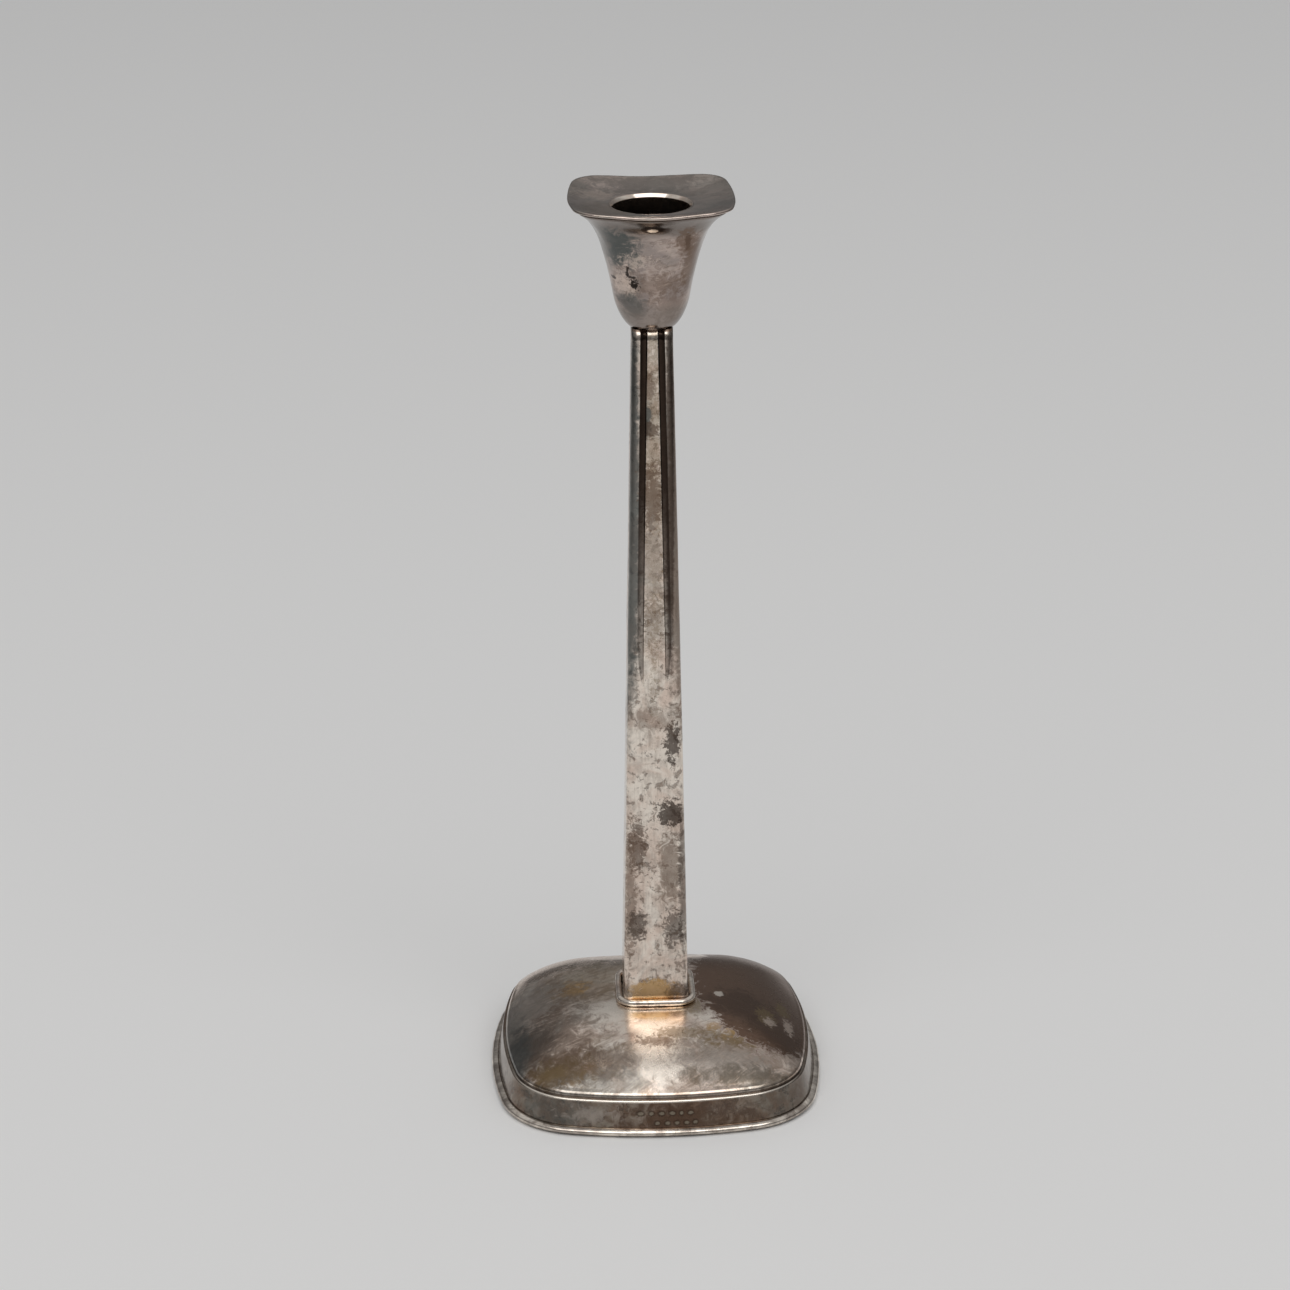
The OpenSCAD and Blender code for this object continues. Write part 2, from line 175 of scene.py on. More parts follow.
def lifted(points, z, lift):
    """The plan line at height z, raised towards its four corners."""
    r2 = (points**2).sum(1)
    return np.c_[points, z + lift * (2 * points[:, 0] * points[:, 1] / r2) ** 2]


def rounding(half, squareness):
    """A line between a circle (squareness 0) and the drip pan's bowed square (squareness 1)."""
    square = bowed_square(half, PAN_SIDE_SHARE * half, PAN_CORNER_SHARE * half)
    r = np.linalg.norm(square, axis=1)
    return square * (half / r * (1 - squareness) + squareness)[:, None]


def foot_ring(inset, z):
    """The foot's outside line at height z, inset by some millimetres."""
    return ring(bowed_square(FOOT_HALF - inset, FOOT_SIDE_R - inset, FOOT_CORNER_R - inset), z)


# ---- section lines ----

def refined(line, step):
    """The line with points added so that no stretch is longer than step."""
    out = [np.array(line[0], float)]
    for a, b in zip(line[:-1], line[1:]):
        a, b = np.array(a, float), np.array(b, float)
        count = max(1, math.ceil(np.linalg.norm(b - a) / step))
        out += [a + (b - a) * k / count for k in range(1, count + 1)]
    return np.array(out)


def arc(centre, radius, start, end, count):
    """Points on an arc, angles in degrees."""
    t = np.radians(np.linspace(start, end, count))
    return np.c_[centre[0] + radius * np.cos(t), centre[1] + radius * np.sin(t)]


def bezier(p, count):
    """Points on a cubic curve and its direction at each."""
    p = np.array(p, float)
    t = np.linspace(0, 1, count)[:, None]
    at = p[0] * (1 - t)**3 + p[1] * 3 * t * (1 - t)**2 + p[2] * 3 * t * t * (1 - t) + p[3] * t**3
    slope = (p[1] - p[0]) * (1 - t)**2 + (p[2] - p[1]) * 2 * t * (1 - t) + (p[3] - p[2]) * t * t
    return at, slope / np.linalg.norm(slope, axis=1)[:, None]


# ---- meshes ----

def ripple(co, size, seed):
    """A smooth random height at each point, mostly from -1 to 1, with swells about size across."""
    waves, spread = 7, 1.6
    rng = np.random.RandomState(seed)
    way = rng.normal(size=(waves, 3))
    pace = 2 * math.pi / size / np.linalg.norm(way, axis=1) * rng.uniform(0.6, 1.4, waves)
    way *= pace[:, None]
    return np.sin(co @ way.T + rng.uniform(0, 2 * math.pi, waves)).sum(1) / waves**0.5 / spread


def finish_piece(obj, node, body, material):
    """Gives a new piece its material, hangs it on its body and hides the CAD node that it stands
    for.
    """
    obj.data.materials.append(material)
    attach(obj, body)
    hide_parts(node)


def hoop(name, rings, dents):
    """A closed sheet hoop: the rings run up the outside and down the inside.

    Each dent is (height in millimetres, size of the swells, seed); it moves points along their
    normals, as hand work leaves a surface.
    """
    rings = np.array(rings)
    count, n = rings.shape[:2]
    index = np.arange(count * n).reshape(count, n)
    up, around = np.roll(index, -1, 0), np.roll(index, -1, 1)
    faces = np.stack([index, around, np.roll(up, -1, 1), up], -1).reshape(-1, 4)
    co = rings.reshape(-1, 3)
    mesh = bpy.data.meshes.new(name)
    mesh.from_pydata(co * MM, [], faces.tolist())
    mesh.update()
    normal = np.zeros(len(co) * 3)
    mesh.vertex_normals.foreach_get("vector", normal)
    height = sum(h * ripple(co, size, seed) for h, size, seed in dents)
    co = co + normal.reshape(-1, 3) * height[:, None]
    mesh.vertices.foreach_set("co", (co * MM).ravel())
    mesh.shade_smooth()
    mesh.update()
    obj = bpy.data.objects.new(name, mesh)
    bpy.context.scene.collection.objects.link(obj)
    return obj


# ---- foot ----

def border_wire():
    line = [(BORDER_OUT * (1 - math.cos(t)), WIRE_Z + WIRE_H / 2 * (1 + math.sin(t)))
            for t in np.radians(np.linspace(-90, 90, 25))]
    return hoop("border_wire", [foot_ring(*p) for p in line], [(0.03, 14, 1)])


def sloping_band():
    top_in = BORDER_OUT + BAND_LEAN
    inner = RISER_IN + FOOT_SHEET + SHEET_SPARE
    upright = WIRE_Z + WIRE_H + SHEET_SPARE
    edge = [(top_in + LEDGE_ROUND * (1 - math.cos(t)), LEDGE_Z - LEDGE_ROUND * (1 - math.sin(t)))
            for t in np.radians(np.linspace(0, 90, 9))]
    line = [(BORDER_OUT, WIRE_Z), (BORDER_OUT, upright)] + edge
    line += [(inner, LEDGE_Z), (inner, LEDGE_Z - FOOT_SHEET),
             (top_in + FOOT_SHEET, LEDGE_Z - FOOT_SHEET),
             (BORDER_OUT + FOOT_SHEET, upright), (BORDER_OUT + FOOT_SHEET, WIRE_Z)]
    return hoop("sloping_band", [foot_ring(*p) for p in refined(line, 0.7)], [(0.025, 11, 2)])


def dome_ring(half, z):
    """A ring of the domed top: the foot's line at the shoulder, the collar's at the middle."""
    shoulder = FOOT_HALF - SHOULDER_IN
    out = min(1, max(0, (half - DOME_FLAT_HALF) / (shoulder - DOME_FLAT_HALF)))
    side = (FOOT_SIDE_R - SHOULDER_IN) / shoulder
    side = MIDDLE_SIDE_SHARE + (side - MIDDLE_SIDE_SHARE) * out
    corner = (FOOT_CORNER_R - SHOULDER_IN) / shoulder
    corner = MIDDLE_CORNER_SHARE + (corner - MIDDLE_CORNER_SHARE) * out
    return ring(bowed_square(half, side * half, corner * half), z)


def dome_side(sheet, drop, first):
    """Rings of one side of the dome's sheet, from its lower edge to the hole under the stem.

    The side lies sheet inside the riser and shoulder and drop under the top, and leaves out the
    first rings of the slope.
    """
    riser = refined([(RISER_IN + sheet, LEDGE_Z), (RISER_IN + sheet, LEDGE_Z + RISER_H)], 0.3)[:-1]
    turn = arc((0, 0), SHOULDER_R - sheet, 0, SHOULDER_TURN, 10)[:-1]
    rings = [foot_ring(*p) for p in riser]
    rings += [foot_ring(RISER_IN + SHOULDER_R - x, LEDGE_Z + RISER_H + z) for x, z in turn]
    for out in np.linspace(1, 0, 44)[first:]:
        half = DOME_FLAT_HALF + (FOOT_HALF - SHOULDER_IN - DOME_FLAT_HALF) * out
        rings.append(dome_ring(half, FOOT_H + (SHOULDER_Z - FOOT_H) * out**DOME_FULLNESS - drop))
    rings += [dome_ring(half, FOOT_H - drop)
              for half in np.linspace(DOME_FLAT_HALF, DOME_HOLE_HALF, 8)[1:]]
    return rings


def domed_top():
    rings = dome_side(0, 0, 0) + dome_side(FOOT_SHEET, FOOT_SHEET, 2)[::-1]
    return hoop("domed_top", rings, [(0.05, 26, 3), (0.012, 7, 4)])


# ---- stem ----

def stem_section(z, inset):
    """One closed line round the stem at height z."""
    share = (z - FOOT_H) / (STEM_TOP - FOOT_H)
    half = STEM_HALF_BOTTOM + (STEM_HALF_TOP - STEM_HALF_BOTTOM) * share - inset
    opened = min(1, max(0, (z - FLUTE_END) / FLUTE_TAPER))
    raised = min(1, max(0, (z - FLUTE_END) / FLUTE_LEN))
    strip = STRIP_BOTTOM + (STRIP_TOP - STRIP_BOTTOM) * raised
    width = max(FLUTE_LEAST_W, FLUTE_W * math.sqrt(opened))
    depth = FLUTE_DEPTH * min(1, 2 * opened)
    # points across a flute, from the strip outwards, as shares of its width
    u = np.array([0, 0.04, 0.09, 0.15, 0.22, 0.32, 0.43, 0.55, 0.68, 0.8, 0.9, 1])
    fall = np.clip(u / FLUTE_DEEPEST, 0, 1)**1.5
    rise = np.clip((u - FLUTE_DEEPEST) / (1 - FLUTE_DEEPEST), 0, 1)
    drop = depth * fall * np.cos(rise * math.pi / 2)
    strip_edge = np.linspace(-strip, strip, 7)[1:-1]
    flat_edge = half - (STEM_CORNER_R - inset)
    right = np.c_[half - drop, -strip - width * u][::-1]
    left = np.c_[half - drop, strip + width * u]
    middle = np.c_[np.full(5, half), strip_edge]
    spare = np.linspace(strip + width, flat_edge, 6)[1:-1]
    left_flat = np.c_[np.full(4, half), spare]
    right_flat = np.c_[np.full(4, half), -spare[::-1]]
    corner = arc((flat_edge, flat_edge), STEM_CORNER_R - inset, 0, 90, 11)
    face = np.vstack([right_flat, right, middle, left, left_flat, corner[:-1]])
    return ring(four_times(face), z)


def stem():
    """The stem's sheet, with rings close together where the flutes run out."""
    coarse, fine = 2.0, 0.5
    fine_from, fine_to = FLUTE_END - 2, FLUTE_END + 20
    levels = np.r_[np.arange(FOOT_H, fine_from, coarse), np.arange(fine_from, fine_to, fine),
                   np.arange(fine_to, STEM_TOP - 1, coarse), STEM_TOP + SEATED]
    outside = [stem_section(z, 0) for z in levels]
    inside = [stem_section(z, STEM_SHEET) for z in levels]
    return hoop("fluted_stem", outside + inside[::-1], [(0.05, 30, 5), (0.015, 6, 6)])


def collar_wire():
    middle = COLLAR_OUT - COLLAR_R
    corner = STEM_CORNER_R + (middle - STEM_HALF_BOTTOM) + COLLAR_CORNER_SPARE
    rings = []
    for t in np.radians(np.linspace(180, -180, 24, endpoint=False)):
        out = COLLAR_R * math.cos(t)
        line = bowed_square(middle + out, COLLAR_SIDE_SHARE * middle + out, corner + out)
        rings.append(ring(line, FOOT_H + COLLAR_R * (1 - math.sin(t))))
    return hoop("collar_wire", rings, [(0.05, 5, 7)])


# ---- cup ----

def cup_ring(half, up):
    """Ring of the cup at height up over its bottom: round below, a bowed square at the mouth."""
    share = min(1, max(0, up / CUP_RIM))
    line = rounding(half, share**CUP_SQUARING)
    return lifted(line, STEM_TOP + up, RIM_LIFT * share**RIM_RISE)


def bell():
    bowl, bowl_way = bezier(CUP_BOWL, 18)
    flare, flare_way = bezier(CUP_FLARE, 60)
    line, way = np.vstack([bowl[:-1], flare]), np.vstack([bowl_way[:-1], flare_way])
    inward = np.c_[-way[:, 1], way[:, 0]]
    bottom = np.linspace(CUP_HOLE_R, CUP_BOWL[0][0], 5)[:-1]
    inner_z = (line[-1] + inward[-1] * CUP_SHEET)[1]
    rim = np.vstack([arc((CUP_RIM_HALF + RIM_OUT - RIM_ROUND, inner_z), RIM_ROUND, -30, 90, 8),
                     [(CUP_RIM_HALF, inner_z + RIM_ROUND / 3)]])
    rings = [cup_ring(half, 0) for half in bottom]
    rings += [cup_ring(*p) for p in np.vstack([line, rim, (line + inward * CUP_SHEET)[::-1]])]
    rings += [cup_ring(half, CUP_SHEET) for half in bottom[::-1]]
    return hoop("bell_cup", rings, [(0.05, 16, 8), (0.02, 6, 9)])


# ---- nozzle ----

def pan_share(half):
    """How far out a width of the pan is: 0 over its flat middle, 1 at its edge."""
    return min(1, max(0, (half - PAN_FLAT_HALF) / (PAN_HALF - PAN_EDGE_R - PAN_FLAT_HALF)))


def pan_ring(half, z):
    return lifted(rounding(half, pan_share(half)), z, CORNER_LIFT * pan_share(half)**2)


def pan():
    edge_z = PAN_FLAT_Z + PAN_DISH
    edge_half = PAN_HALF - PAN_EDGE_R
    hole = TUBE_HEAD_R + TUBE_GAP
    widths = np.r_[np.linspace(hole, PAN_FLAT_HALF, 4)[:-1],
                   np.linspace(PAN_FLAT_HALF, edge_half, 30)]
    surface = [PAN_FLAT_Z + (edge_z + PAN_EDGE_R - PAN_FLAT_Z) * pan_share(w)**PAN_DISH_CURVE
               for w in widths]
    rings = [pan_ring(w, z - PAN_T) for w, z in zip(widths, surface)]
    rings += [pan_ring(*p) for p in arc((edge_half, edge_z), PAN_EDGE_R, -75, 75, 9)]
    rings += [pan_ring(w, z) for w, z in zip(widths[::-1], surface[::-1])]
    return hoop("wide_drip_pan", rings, [(0.06, 17, 10), (0.015, 5, 11)])


def tube():
    """The candle tube, whose mouth turns out into the drip pan, turned round the axis."""
    head_z = MOUTH_Z - PAN_T
    neck_z = head_z - (TUBE_HEAD_R - TUBE_FOOT_R)
    outer = [(TUBE_FOOT_R, BORE_FLOOR_Z), (TUBE_FOOT_R, neck_z), (TUBE_HEAD_R, head_z),
             (TUBE_HEAD_R, MOUTH_Z - HEAD_UNDER)]
    flank = 180 - MOUTH_FLANK
    mouth = np.vstack([
        arc((BORE_R + MOUTH_R, MOUTH_Z - MOUTH_SOFT), MOUTH_SOFT, 90, flank, 5),
        arc((BORE_R + MOUTH_SOFT, MOUTH_Z - MOUTH_DEPTH), MOUTH_SOFT, flank, 180, 4)])
    wall = refined([mouth[-1], (BORE_R, BORE_FLOOR_Z)], 1.2)[1:]
    t = np.linspace(0, 2 * math.pi, 128, endpoint=False)
    rings = [np.c_[r * np.cos(t), r * np.sin(t), np.full(len(t), z)]
             for r, z in np.vstack([refined(outer, 1.2), mouth, wall])]
    return hoop("candle_tube_and_mouth", rings, [(0.02, 8, 12)])


# ---- materials ----

def linear(*srgb):
    """An sRGB colour from 0 to 255 as a linear RGBA colour."""
    shares = [c / 255 for c in srgb]
    return tuple(c / 12.92 if c < 0.0404 else ((c + 0.055) / 1.055)**2.4 for c in shares) + (1,)


CLEAN_AND_GLINT = linear(246, 236, 224)
PINK = linear(230, 211, 197)
HAZE = linear(176, 166, 157)
GREY = linear(128, 121, 115)
UMBER = linear(118, 97, 82)
BROWN = linear(92, 72, 59)
DARK = linear(62, 50, 43)
CHESTNUT = linear(120, 95, 79)
MAUVE = linear(198, 181, 172)
BLACK = linear(30, 27, 25)
TEAL = linear(86, 91, 90)
GOLD = linear(206, 166, 108)
OLIVE = linear(140, 119, 88)


class Shader:
    """Strings shader nodes together on one material, in object coordinates in millimetres."""

    def __init__(self, name):
        self.material = bpy.data.materials.new(name)
        self.material.use_nodes = True
        self.tree = self.material.node_tree
        self.tree.nodes.clear()
        output = self.node("ShaderNodeOutputMaterial")
        self.bsdf = self.node("ShaderNodeBsdfPrincipled")
        self.tree.links.new(self.bsdf.outputs[0], output.inputs[0])
        place = self.node("ShaderNodeTexCoord").outputs["Object"]
        self.mm = self.vector("SCALE", place, scale=1 / MM)

    def node(self, kind, **props):
        made = self.tree.nodes.new(kind)
        for key, value in props.items():
            setattr(made, key, value)
        return made

    def feed(self, socket, value):
        """Links a socket to a socket, or sets its value."""
        if isinstance(value, bpy.types.NodeSocket):
            self.tree.links.new(value, socket)
        elif value is not None:
            socket.default_value = value

    def vector(self, operation, a, b=None, scale=None):
        made = self.node("ShaderNodeVectorMath", operation=operation)
        self.feed(made.inputs[0], a)
        if b is not None:
            self.feed(made.inputs[1], b)
        if scale is not None:
            made.inputs["Scale"].default_value = scale
        return made.outputs["Value" if operation == "LENGTH" else "Vector"]

    def math(self, operation, a, b=None, c=None):
        made = self.node("ShaderNodeMath", operation=operation)
        for socket, value in zip(made.inputs, (a, b, c)):
            self.feed(socket, value)
        return made.outputs[0]

    def step(self, value, start, end):
        """0 below start, 1 above end, smooth between; start may be the larger one."""
        made = self.node("ShaderNodeMapRange", interpolation_type="SMOOTHSTEP")
        self.feed(made.inputs["Value"], value)
        flip = start > end
        made.inputs["From Min"].default_value = end if flip else start
        made.inputs["From Max"].default_value = start if flip else end
        made.inputs["To Min"].default_value = 1.0 if flip else 0.0
        made.inputs["To Max"].default_value = 0.0 if flip else 1.0
        return made.outputs["Result"]

    def noise(self, size, detail, rough, distort, shift=0.0, place=None):
        """Noise from 0 to 1 with features about size millimetres across."""
        place = self.mm if place is None else place
        if shift:
            place = self.vector("ADD", place, (shift, shift * 0.7, -shift * 0.4))
        made = self.node("ShaderNodeTexNoise")
        self.feed(made.inputs["Vector"], place)
        made.inputs["Scale"].default_value = 1 / size
        made.inputs["Detail"].default_value = detail
        made.inputs["Roughness"].default_value = rough
        made.inputs["Distortion"].default_value = distort
        return made.outputs["Fac"]

    def mix(self, mask, a, b):
        """Colour a where the mask is 0, b where it is 1."""
        made = self.node("ShaderNodeMix", data_type="RGBA")
        self.feed(made.inputs[0], mask)
        self.feed(made.inputs[6], a)
        self.feed(made.inputs[7], b)
        return made.outputs[2]

    def bump(self, height, strength, distance):
        """Bumps the surface by a height from 0 to 1; distance in metres."""
        made = self.node("ShaderNodeBump")
        made.inputs["Strength"].default_value = strength
        made.inputs["Distance"].default_value = distance
        self.feed(made.inputs["Height"], height)
        self.feed(self.bsdf.inputs["Normal"], made.outputs[0])

    def patch(self, centre, radii, edge, ragged, grain=5.0):
        """A mask that is 1 in an ellipsoid with a ragged edge, and 0 outside."""
        away = self.vector("SUBTRACT", self.mm, centre)
        away = self.vector("DIVIDE", away, radii)
        rag = self.noise(grain, detail=9, rough=0.72, distort=0.9)
        rag = self.math("SUBTRACT", rag, 0.5)
        rag = self.math("MULTIPLY", rag, ragged * 5)
        distance = self.math("ADD", self.vector("LENGTH", away), rag)
        return self.step(distance, 1 + edge, 1 - edge)

    def streaks(self, angle, across, along, axes, shift):
        """Noise drawn out along a line at angle degrees in the plane named by axes."""
        flat = axes == "XY"
        turned = self.node("ShaderNodeVectorRotate", rotation_type="Z_AXIS" if flat else "Y_AXIS")
        self.feed(turned.inputs["Vector"], self.mm)
        turned.inputs["Angle"].default_value = math.radians(angle)
        stretch = (along, across, along) if flat else (along, along, across)
        stretch = tuple(1 / size for size in stretch)
        place = self.vector("MULTIPLY", turned.outputs[0], stretch)
        return self.noise(1.0, detail=4, rough=0.6, distort=0.3, shift=shift, place=place)


def silver(name, stains_and_shading=(), wipes=(), marks=(), over=None, grain=1.0, veil=0.5, haze=0.5,
           blots=0.5, pits=0.5, base=(CLEAN_AND_GLINT, PINK), veil_shade=UMBER, polish=0.07, smear=0.1,
           brush=(30, "XY")):
    """Old silver: clean metal under a brown veil, haze, map-edged blots, pits, stains and wipes.

    A stain is (colour, strength, centre, radii, edge, ragged, grain); some entries are painted
    shade and painted reflections, with a painted glint. A mark has the same fields, lies over all
    else and
    is sunk in. A wipe is (strength, centre, radii, angle, axes): fine bright lines inside a soft
    patch. over takes the shader and its colour and gives a new colour. grain scales the sizes of
    the tarnish, veil to pits are strengths from 0 to 1, polish is the roughness of the cleanest
    metal, and brush is the angle and plane of the polishing strokes.
    """
    s = Shader(name)
    # clean metal, paler and pinker by turns
    cloud = s.noise(16 * grain, detail=5, rough=0.6, distort=0.8)
    colour = s.mix(s.step(cloud, 0.38, 0.62), *base)

    # the veil, partly drawn out along the polishing strokes, and the haze over it
    drawn_share = 0.35
    angle, plane = brush
    drawn = s.streaks(angle, across=1.1 * grain, along=9 * grain, axes=plane, shift=3)
    warm = s.noise(11 * grain, detail=8, rough=0.7, distort=1.0, shift=23)
    warm = s.math("MULTIPLY", warm, 1 - drawn_share)
    warm = s.math("ADD", warm, s.math("MULTIPLY", drawn, drawn_share))
    colour = s.mix(s.math("MULTIPLY", s.step(warm, 0.46, 0.62), veil), colour, veil_shade)
    mist = s.noise(8 * grain, detail=8, rough=0.72, distort=0.6, shift=31)
    colour = s.mix(s.math("MULTIPLY", s.step(mist, 0.45, 0.66), haze), colour, HAZE)

    # blots with a dark rim, like coasts on a map
    blot = s.noise(5.5 * grain, detail=10, rough=0.74, distort=0.4, shift=57)
    blot_mask = s.math("MULTIPLY", s.step(blot, 0.57, 0.64), blots)
    colour = s.mix(blot_mask, colour, UMBER)
    rim = s.math("MULTIPLY", s.step(blot, 0.555, 0.575), s.step(blot, 0.605, 0.58))
    colour = s.mix(s.math("MULTIPLY", rim, blots), colour, DARK)

    # the roughness mask takes in every stain patch, the painted shade and painted reflections
    # among them
    tarnish = blot_mask
    for shade, strength, centre, radii, edge, ragged, size in stains_and_shading:
        mask = s.math("MULTIPLY", s.patch(centre, radii, edge, ragged, size), strength)
        colour = s.mix(mask, colour, shade)
        tarnish = s.math("MAXIMUM", tarnish, mask)

    # pits in some places, and hairline scratches across the strokes
    speck = s.noise(0.7, detail=3, rough=0.6, distort=0, shift=12)
    pitted = s.step(s.noise(6, detail=2, rough=0.5, distort=0, shift=77), 0.42, 0.58)
    pit = s.math("MULTIPLY", s.step(speck, 0.67, 0.74), pitted)
    colour = s.mix(s.math("MULTIPLY", pit, pits), colour, DARK)
    hair = s.streaks(angle + 50, across=0.16, along=14, axes=plane, shift=40)
    hair = s.step(hair, 0.66, 0.74)
    colour = s.mix(s.math("MULTIPLY", hair, 0.35), colour, HAZE)

    for strength, centre, radii, angle, axes in wipes:
        lines = s.streaks(angle, across=0.4, along=7.0, axes=axes, shift=angle)
        lines = s.step(lines, 0.48, 0.7)
        lines = s.math("MULTIPLY", lines, s.patch(centre, radii, edge=0.5, ragged=0.4))
        broken = s.noise(2.4, detail=5, rough=0.7, distort=0.5, shift=angle)
        lines = s.math("MULTIPLY", lines, s.step(broken, 0.42, 0.58))
        colour = s.mix(s.math("MULTIPLY", lines, strength), colour, PINK)

    sunk = s.math("MULTIPLY", pit, 0.6)
    for shade, strength, centre, radii, edge, ragged, size in marks:
        mask = s.math("MULTIPLY", s.patch(centre, radii, edge, ragged, size), strength)
        colour = s.mix(mask, colour, shade)
        sunk = s.math("ADD", sunk, mask)
    s.feed(s.bsdf.inputs["Base Color"], over(s, colour) if over else colour)
    s.bsdf.inputs["Metallic"].default_value = 1.0

    tarnish_roughness = 0.14
    rough = s.math("MULTIPLY_ADD", tarnish, tarnish_roughness, polish)
    smears = s.noise(3.0, detail=5, rough=0.7, distort=0.5, shift=91)
    rough = s.math("ADD", rough, s.math("MULTIPLY", smears, smear))
    rough = s.math("ADD", rough, s.math("MULTIPLY", drawn, smear / 2))
    s.feed(s.bsdf.inputs["Roughness"], rough)

    height = s.noise(2.2, detail=4, rough=0.55, distort=0.4, shift=5)
    height = s.math("ADD", height, s.math("MULTIPLY", speck, 0.2))
    height = s.math("SUBTRACT", height, sunk)
    height = s.math("SUBTRACT", height, s.math("MULTIPLY", hair, 0.12))
    s.bump(height, strength=0.3, distance=0.00003)
    return s.material


def dull(name, shades, size, roughness, metallic=0.0, bump_depth=0.0001, sheen=0.0):
    """A plain worked surface in three shades with grain of the given size."""
    s = Shader(name)
    patches = s.noise(size * 6, detail=4, rough=0.6, distort=0.5)
    colour = s.mix(s.step(patches, 0.35, 0.65), shades[0], shades[1])
    grains = s.noise(size, detail=6, rough=0.7, distort=0.3, shift=9)
    colour = s.mix(s.step(grains, 0.5, 0.7), colour, shades[2])
    s.feed(s.bsdf.inputs["Base Color"], colour)
    s.bsdf.inputs["Metallic"].default_value = metallic
    s.bsdf.inputs["Sheen Weight"].default_value = sheen
    wear = 0.3
    rough = s.noise(size * 3, detail=4, rough=0.6, distort=0, shift=4)
    rough = s.math("MULTIPLY_ADD", rough, wear, roughness - wear / 2)
    s.feed(s.bsdf.inputs["Roughness"], rough)
    height = s.noise(size * 0.7, detail=5, rough=0.7, distort=0, shift=2)
    s.bump(height, strength=0.6, distance=bump_depth)
    return s.material


# Where the tarnish and wipe marks lie, in millimetres. Some centres are rounded from places that a
# scratch script worked out from points in the photo, and the others were set by eye.
# Stains, with painted shade and painted reflections among them, and marks: colour, strength,
# centre, radii, edge, ragged, grain.
# Wipes: strength, centre, radii, angle, plane.

DOME_STAINS_AND_SHADING = (
    # left side
    (OLIVE, 0.5, (-22, 9, 23), (20, 14, 6), 0.5, 0.7, 5),
    (GOLD, 0.85, (-27, 5, 22), (5, 4.5, 6), 0.7, 0.9, 3),
    (UMBER, 0.5, (-30, 6, 22), (3, 3, 6), 0.5, 0.9, 3),
    (UMBER, 0.45, (-33, 2, 20), (12, 12, 9), 0.4, 0.9, 4),
    (CLEAN_AND_GLINT, 0.85, (-14, -14, 23), (8.5, 7.5, 6), 0.3, 0.3, 5),
    (UMBER, 0.7, (-33, -20, 18), (15, 18, 9), 0.4, 0.8, 5),
    (DARK, 0.6, (-40, -24, 16), (9, 12, 9), 0.5, 0.6, 6),
    (TEAL, 0.7, (-46, -16, 14), (6, 26, 8), 0.4, 0.4, 7),
    (UMBER, 0.6, (-20, -36, 17), (20, 6, 9), 0.4, 0.8, 5),
    (TEAL, 0.5, (-18, -42, 15), (24, 4, 7), 0.5, 0.5, 6),
    (linear(112, 92, 66), 0.8, (-30, -37, 15), (11, 5, 6), 0.5, 0.9, 3),
    (OLIVE, 0.5, (-33, -37, 15), (4, 2, 6), 0.5, 1.0, 2.5),
    (PINK, 0.9, (-26, 28, 18), (20, 9, 9), 0.3, 0.8, 3.5),
    (UMBER, 0.7, (-34, 24, 18), (9, 3, 9), 0.3, 0.9, 3),
    # front, under the light
    (CLEAN_AND_GLINT, 0.95, (1, -30, 20), (8.5, 17, 8), 0.3, 0.3, 5),
    (CLEAN_AND_GLINT, 0.6, (14, -15, 23), (6, 5, 6), 0.3, 0.3, 4),
    (UMBER, 0.55, (26, -32, 18), (22, 11, 9), 0.4, 0.9, 4),
    (HAZE, 0.7, (20, -38, 16), (14, 5, 8), 0.4, 0.9, 3),
    (OLIVE, 0.8, (25, -27, 19), (11, 4, 7), 0.4, 0.9, 3),
    (GOLD, 0.5, (24, -24, 20), (8, 3, 6), 0.5, 1.0, 3),
    (linear(92, 84, 68), 0.6, (32, -41, 15), (20, 4, 6), 0.5, 0.7, 4),
    (OLIVE, 0.75, (12, -8, 24), (6, 8, 4), 0.3, 0.5, 4),
    # the brown pool on the right, with its pale rim, and the spots in it
    (MAUVE, 0.9, (36, 6, 20), (26.5, 38, 17), 0.03, 0.2, 4),
    (CHESTNUT, 0.98, (36, 6, 20), (25, 36, 16), 0.03, 0.2, 4),
    (linear(142, 118, 102), 0.3, (36, 14, 19), (16, 20, 9), 0.5, 1.0, 4),
    (BROWN, 0.75, (27, -8, 21), (11, 9, 8), 0.4, 0.7, 4),
    (BROWN, 0.55, (38, -20, 19), (10, 8, 8), 0.4, 0.8, 3),
    (CLEAN_AND_GLINT, 0.85, (19.8, -3, 23.7), (1.5, 1.7, 3), 0.2, 0.5, 1.2),
    (OLIVE, 0.9, (34, -11, 20), (3, 5, 3), 0.2, 1.0, 1.3),
    (PINK, 0.8, (35, -14, 20), (1.8, 2.5, 3), 0.2, 1.2, 1),
    (OLIVE, 0.9, (40, -2, 17.5), (2, 4, 4), 0.2, 1.0, 1.4),
    (PINK, 0.8, (41, -12, 17), (1.5, 4, 4), 0.2, 1.2, 1.1),
    # smaller marks
    (HAZE, 0.6, (-38, 4, 19), (9, 10, 9), 0.4, 1.1, 2.2),
    (GOLD, 0.3, (5, -17, 24), (4, 5, 5), 0.5, 0.5, 4),
    (UMBER, 0.7, (-1, -29, 20), (6, 2.2, 5), 0.2, 1.0, 1.6),
    (OLIVE, 0.6, (7, -26, 21), (8, 2.4, 5), 0.3, 1.0, 1.8),
    # painted shade on the riser just over the ledge
    (DARK, 0.8, (0, 0, 11.2), (300, 300, 0.55), 0.3, 0.02, 9),
)
